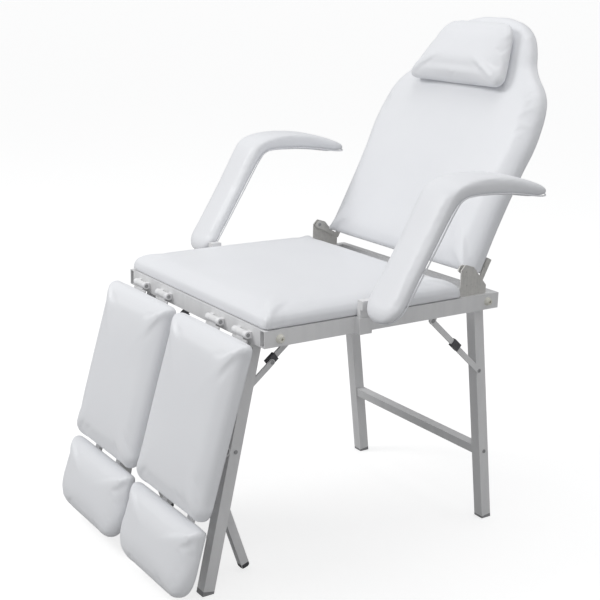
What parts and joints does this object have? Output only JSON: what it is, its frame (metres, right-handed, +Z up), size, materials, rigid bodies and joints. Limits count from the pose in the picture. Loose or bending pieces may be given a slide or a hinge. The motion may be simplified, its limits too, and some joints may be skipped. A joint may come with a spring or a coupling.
{
  "type": "facial treatment bed",
  "caption": "Folding salon treatment bed with upholstered seat, reclining back with head pillow, split leg rests with pull-out foot pads and lift-off armrests.",
  "frame": {"origin": "on the floor, under the middle of the whole bed", "axes": "+X across the bed to the sitter's left-hand armrest side, +Y to the head end, +Z up"},
  "size_m": [0.78, 0.9885, 1.0944],
  "materials": {
    "white_vinyl": "satin, fine leather grain",
    "plywood": "raw plywood",
    "white_steel": "white powder coat",
    "zinc_plate": "zinc plated",
    "zinc_bolts": "zinc plated",
    "cream_plastic": "moulded",
    "grey_plastic": "moulded"
  },
  "bodies": {
    "frame": {"side_rail_left": "white_steel", "side_rail_right": "white_steel", "front_rail": "white_steel", "rear_rail": "white_steel", "seat_cross_bars": "white_steel", "rail_caps": "cream_plastic", "leg_pivot_studs": "zinc_bolts", "seat_board": "plywood", "seat_pad": "white_vinyl", "back_hinge_plate_left": "zinc_plate", "back_hinge_plate_right": "zinc_plate", "leg_rest_hinge_lugs": "white_steel", "hinge_pins": "zinc_bolts", "brace_brackets": "white_steel", "armrest_sockets": "white_steel"},
    "front_legs": {"front_leg_left": "white_steel", "front_leg_right": "white_steel", "front_foot_caps": "grey_plastic", "front_pivot_tube": "white_steel", "front_crossbars": "white_steel", "front_leg_bolts": "zinc_bolts", "prop_brackets": "white_steel"},
    "rear_legs": {"rear_leg_left": "white_steel", "rear_leg_right": "white_steel", "rear_foot_caps": "grey_plastic", "rear_pivot_tube": "white_steel", "rear_crossbar": "white_steel", "rear_leg_bolts": "zinc_bolts"},
    "front_brace_upper": {"front_brace_upper": "white_steel"},
    "front_brace_lower": {"front_brace_lower": "white_steel"},
    "rear_brace_upper": {"rear_brace_upper": "white_steel"},
    "rear_brace_lower": {"rear_brace_lower": "white_steel"},
    "backrest": {"back_pad": "white_vinyl", "back_board": "plywood", "back_arm_left": "zinc_plate", "back_arm_right": "zinc_plate"},
    "pillow": {"pillow": "white_vinyl"},
    "front_collar_left": {"front_brace_collar_left": "zinc_plate"},
    "rear_collar_left": {"rear_brace_collar_left": "zinc_plate"},
    "leg_rest_left": {"leg_rest_pad_left": "white_vinyl", "leg_rest_board_left": "plywood", "leg_rest_frame_left": "white_steel"},
    "foot_pad_left": {"foot_pad_left": "white_vinyl", "foot_slides_left": "white_steel"},
    "prop_sleeve_left": {"prop_sleeve_left": "white_steel"},
    "prop_left": {"prop_left": "white_steel"},
    "armrest_left": {"armrest_pad_left": "white_vinyl", "armrest_stem_left": "white_steel"},
    "front_collar_right": {"front_brace_collar_right": "zinc_plate"},
    "rear_collar_right": {"rear_brace_collar_right": "zinc_plate"},
    "leg_rest_right": {"leg_rest_pad_right": "white_vinyl", "leg_rest_board_right": "plywood", "leg_rest_frame_right": "white_steel"},
    "foot_pad_right": {"foot_pad_right": "white_vinyl", "foot_slides_right": "white_steel"},
    "prop_sleeve_right": {"prop_sleeve_right": "white_steel"},
    "prop_right": {"prop_right": "white_steel"},
    "armrest_right": {"armrest_pad_right": "white_vinyl", "armrest_stem_right": "white_steel"}
  },
  "joints": [
    {"name": "front_legs_fold", "type": "hinge", "parent": "frame", "child": "front_legs", "pos_m": [0, -0.26, 0.522], "axis": [1, 0, 0], "range_deg": [0, 87]},
    {"name": "rear_legs_fold", "type": "hinge", "parent": "frame", "child": "rear_legs", "pos_m": [0, 0.257, 0.524], "axis": [-1, 0, 0], "range_deg": [0, 83]},
    {"name": "front_brace_upper_turn", "type": "hinge", "parent": "frame", "child": "front_brace_upper", "pos_m": [0, -0.157, 0.495], "axis": [1, 0, 0], "range_deg": [0, 28.09]},
    {"name": "front_brace_lower_turn", "type": "hinge", "parent": "front_legs", "child": "front_brace_lower", "pos_m": [0, -0.28805, 0.3879], "axis": [1, 0, 0], "range_deg": [0, 101.26]},
    {"name": "rear_brace_upper_turn", "type": "hinge", "parent": "frame", "child": "rear_brace_upper", "pos_m": [0, 0.127, 0.495], "axis": [-1, 0, 0], "range_deg": [0, 30.54]},
    {"name": "rear_brace_lower_turn", "type": "hinge", "parent": "rear_legs", "child": "rear_brace_lower", "pos_m": [0, 0.27506, 0.36005], "axis": [-1, 0, 0], "range_deg": [0, 109.55]},
    {"name": "front_collar_left_slide", "type": "slide", "parent": "front_brace_upper", "child": "front_collar_left", "axis": [0, 0.7743, 0.6328], "range_m": [0, 0.024]},
    {"name": "rear_collar_left_slide", "type": "slide", "parent": "rear_brace_upper", "child": "rear_collar_left", "axis": [0, -0.7391, 0.6736], "range_m": [0, 0.024]},
    {"name": "front_collar_right_slide", "type": "slide", "parent": "front_brace_upper", "child": "front_collar_right", "axis": [0, 0.7743, 0.6328], "range_m": [0, 0.024]},
    {"name": "rear_collar_right_slide", "type": "slide", "parent": "rear_brace_upper", "child": "rear_collar_right", "axis": [0, -0.7391, 0.6736], "range_m": [0, 0.024]},
    {"name": "back_recline", "type": "hinge", "parent": "frame", "child": "backrest", "pos_m": [0, 0.1975, 0.596], "axis": [-1, 0, 0], "range_deg": [0, 63]},
    {"name": "pillow_slide", "type": "slide", "parent": "backrest", "child": "pillow", "axis": [0, 0.454, 0.891], "range_m": [-0.06, 0]},
    {"name": "leg_rest_left_raise", "type": "hinge", "parent": "frame", "child": "leg_rest_left", "pos_m": [0, -0.302, 0.523], "axis": [-1, 0, 0], "range_deg": [0, 70]},
    {"name": "foot_pad_left_slide", "type": "slide", "parent": "leg_rest_left", "child": "foot_pad_left", "axis": [0, -0.2689, -0.9632], "range_m": [0, 0.2]},
    {"name": "prop_sleeve_left_turn", "type": "hinge", "parent": "front_legs", "child": "prop_sleeve_left", "pos_m": [-0.16, -0.35729, 0.2806], "axis": [1, 0, 0], "range_deg": [0, 18.58]},
    {"name": "prop_left_slide", "type": "slide", "parent": "prop_sleeve_left", "child": "prop_left", "axis": [0, -0.3355, 0.942], "range_m": [0, 0.2652]},
    {"name": "armrest_left_lift", "type": "slide", "parent": "frame", "child": "armrest_left", "axis": [0, 0, 1], "range_m": [0, 0.03]},
    {"name": "leg_rest_right_raise", "type": "hinge", "parent": "frame", "child": "leg_rest_right", "pos_m": [0, -0.302, 0.523], "axis": [-1, 0, 0], "range_deg": [0, 70]},
    {"name": "foot_pad_right_slide", "type": "slide", "parent": "leg_rest_right", "child": "foot_pad_right", "axis": [0, -0.2689, -0.9632], "range_m": [0, 0.2]},
    {"name": "prop_sleeve_right_turn", "type": "hinge", "parent": "front_legs", "child": "prop_sleeve_right", "pos_m": [0.16, -0.35729, 0.2806], "axis": [1, 0, 0], "range_deg": [0, 18.58]},
    {"name": "prop_right_slide", "type": "slide", "parent": "prop_sleeve_right", "child": "prop_right", "axis": [0, -0.3355, 0.942], "range_m": [0, 0.2652]},
    {"name": "armrest_right_lift", "type": "slide", "parent": "frame", "child": "armrest_right", "axis": [0, 0, 1], "range_m": [0, 0.03]}
  ],
  "couplings": [
    {"joint": "front_brace_upper_turn", "follows": "front_legs_fold", "ratio": 0.32227},
    {"joint": "front_brace_lower_turn", "follows": "front_legs_fold", "ratio": 1.1634},
    {"joint": "rear_brace_upper_turn", "follows": "rear_legs_fold", "ratio": 0.36738},
    {"joint": "rear_brace_lower_turn", "follows": "rear_legs_fold", "ratio": 1.3193},
    {"joint": "prop_sleeve_left_turn", "follows": "leg_rest_left_raise", "ratio": 0.26468},
    {"joint": "prop_left_slide", "follows": "leg_rest_left_raise", "m_per_rad": 0.21693},
    {"joint": "prop_sleeve_right_turn", "follows": "leg_rest_right_raise", "ratio": 0.26468},
    {"joint": "prop_right_slide", "follows": "leg_rest_right_raise", "m_per_rad": 0.21693}
  ]
}
